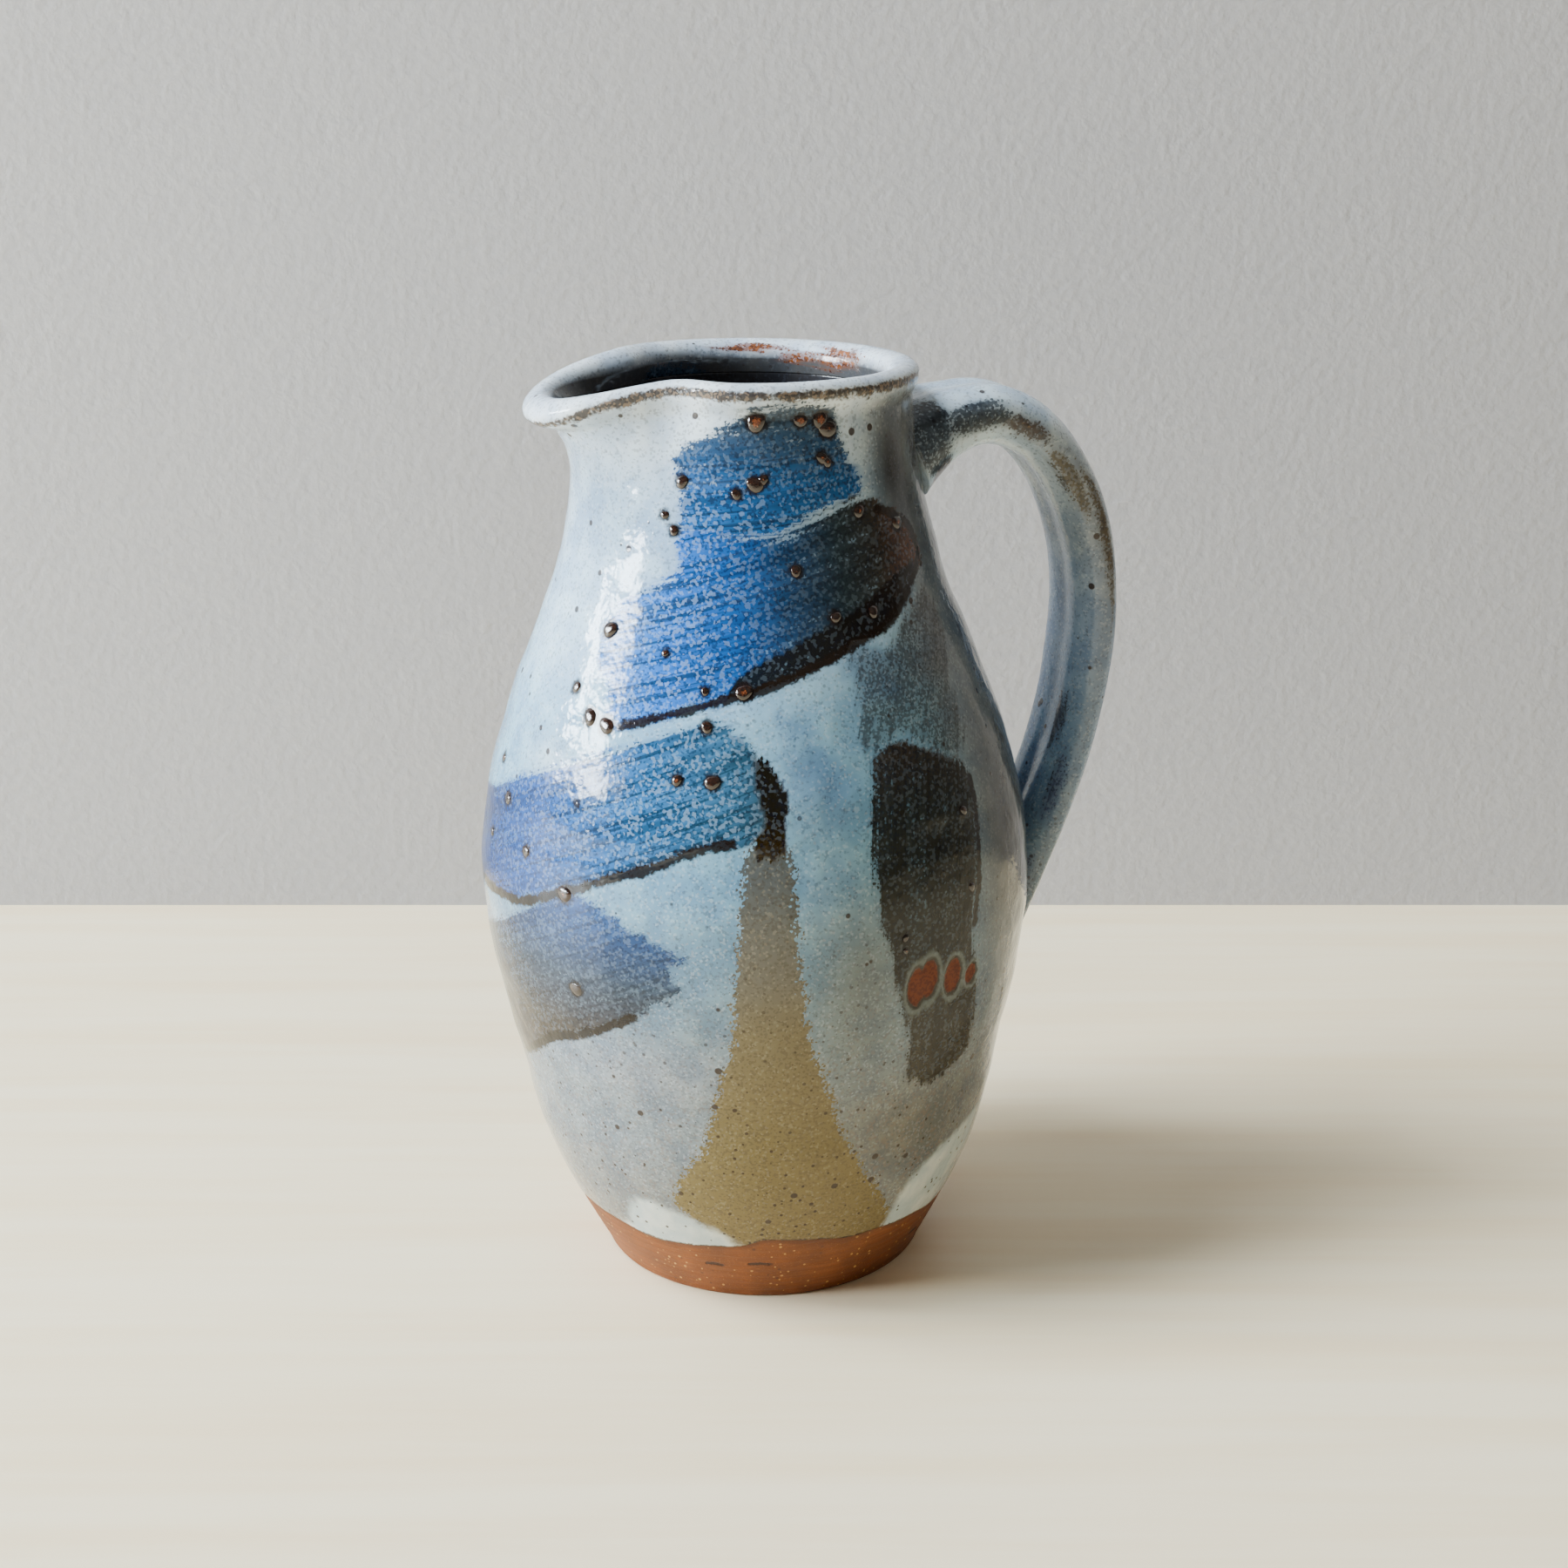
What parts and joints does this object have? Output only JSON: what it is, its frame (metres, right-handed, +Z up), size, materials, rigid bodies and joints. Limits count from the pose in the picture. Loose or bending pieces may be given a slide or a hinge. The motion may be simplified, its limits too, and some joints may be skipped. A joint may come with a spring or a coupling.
{
  "type": "stoneware pitcher",
  "caption": "Hand-thrown stoneware pitcher: a full-bellied body with a pulled pouring lip and a pulled strap handle, glazed down to a bare clay foot.",
  "frame": {"origin": "centre of the foot's flat underside", "axes": "+Z up, +X towards the handle and -X towards the spout"},
  "size_m": [0.1532, 0.1292, 0.215],
  "materials": {
    "fired_clay": "bare rust-brown stoneware, dry and slightly sandy",
    "pale_glaze": "glossy pale blue-white glaze with brushed cobalt and iron under it",
    "liner_glaze": "glossy grey-lavender glaze with fine iron specks"
  },
  "bodies": {
    "root": {"thrown_body": "fired_clay", "outer_glaze": "pale_glaze", "liner_glaze": "liner_glaze", "pulled_handle": "fired_clay", "handle_glaze": "pale_glaze", "upper_luting_coil": "fired_clay", "lower_luting_coil": "fired_clay"}
  },
  "joints": []
}
